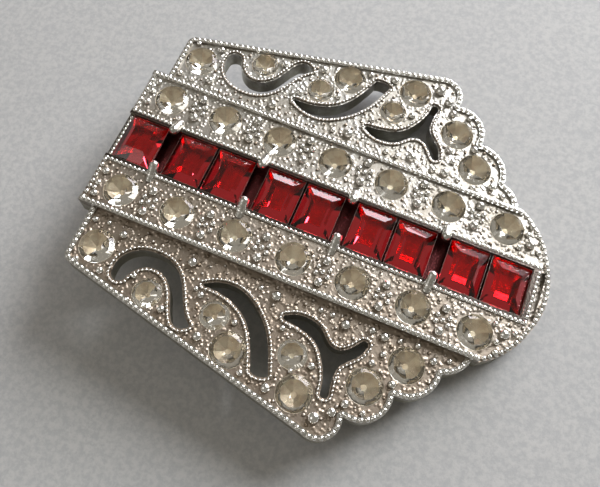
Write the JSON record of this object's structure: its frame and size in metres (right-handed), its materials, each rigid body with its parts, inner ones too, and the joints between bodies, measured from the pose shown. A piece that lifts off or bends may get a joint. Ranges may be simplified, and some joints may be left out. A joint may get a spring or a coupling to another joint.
{
  "type": "brooch",
  "caption": "Pierced, scalloped white-metal brooch with a channel of rectangular red stones between rows of round crystals and a hinged pin with a roll-over catch.",
  "frame": {"origin": "centre of the outline in plan, level with the rearmost point of the catch", "axes": "+X along the red row from the wide end to the rounded tip, +Y across the width, +Z out of the worn front"},
  "size_m": [0.0462, 0.0414, 0.0078],
  "materials": {
    "cast_metal": "rhodium-plated pot metal, finely stippled, with warm tarnish in the recesses",
    "finding_metal": "plated steel strip and bracket, dull with wear",
    "rivet_metal": "peened steel rivet",
    "pin_wire": "drawn and ground steel wire",
    "catch_metal": "plated pressed metal",
    "roller_metal": "turned metal, worn on the lever",
    "red_glass": "polished ruby glass, foiled back",
    "foiled_crystal": "cut glass with an aged, yellowed foil back"
  },
  "bodies": {
    "brooch": {"cast_plate": "cast_metal", "pin_strip": "finding_metal", "joint_bracket": "finding_metal", "hinge_rivet": "rivet_metal", "catch_shell": "catch_metal", "red_stone_1": "red_glass", "red_stone_2": "red_glass", "red_stone_3": "red_glass", "red_stone_4": "red_glass", "red_stone_5": "red_glass", "red_stone_6": "red_glass", "red_stone_7": "red_glass", "red_stone_8": "red_glass", "red_stone_9": "red_glass", "upper_bar_crystal_1": "foiled_crystal", "upper_bar_crystal_2": "foiled_crystal", "upper_bar_crystal_3": "foiled_crystal", "upper_bar_crystal_4": "foiled_crystal", "upper_bar_crystal_5": "foiled_crystal", "upper_bar_crystal_6": "foiled_crystal", "upper_bar_crystal_7": "foiled_crystal", "lower_bar_crystal_1": "foiled_crystal", "lower_bar_crystal_2": "foiled_crystal", "lower_bar_crystal_3": "foiled_crystal", "lower_bar_crystal_4": "foiled_crystal", "lower_bar_crystal_5": "foiled_crystal", "lower_bar_crystal_6": "foiled_crystal", "lower_bar_crystal_7": "foiled_crystal", "upper_wing_crystal_1": "foiled_crystal", "upper_wing_crystal_2": "foiled_crystal", "upper_wing_crystal_3": "foiled_crystal", "upper_wing_crystal_4": "foiled_crystal", "upper_wing_crystal_5": "foiled_crystal", "upper_wing_crystal_6": "foiled_crystal", "upper_wing_crystal_7": "foiled_crystal", "upper_wing_crystal_8": "foiled_crystal", "lower_wing_crystal_1": "foiled_crystal", "lower_wing_crystal_2": "foiled_crystal", "lower_wing_crystal_3": "foiled_crystal", "lower_wing_crystal_4": "foiled_crystal", "lower_wing_crystal_5": "foiled_crystal", "lower_wing_crystal_6": "foiled_crystal", "lower_wing_crystal_7": "foiled_crystal", "lower_wing_crystal_8": "foiled_crystal"},
    "pin": {"pin_stem": "pin_wire"},
    "catch_lever": {"catch_roller": "roller_metal"}
  },
  "joints": [
    {"name": "pin_hinge", "type": "hinge", "parent": "brooch", "child": "pin", "pos_m": [-0.0122, 0.007, 0.00171], "axis": [1, 0, 0], "range_deg": [0, 75]},
    {"name": "catch_roll", "type": "hinge", "parent": "brooch", "child": "catch_lever", "pos_m": [-0.0122, -0.007, 0.00171], "axis": [0, 1, 0], "range_deg": [0, 150]}
  ]
}
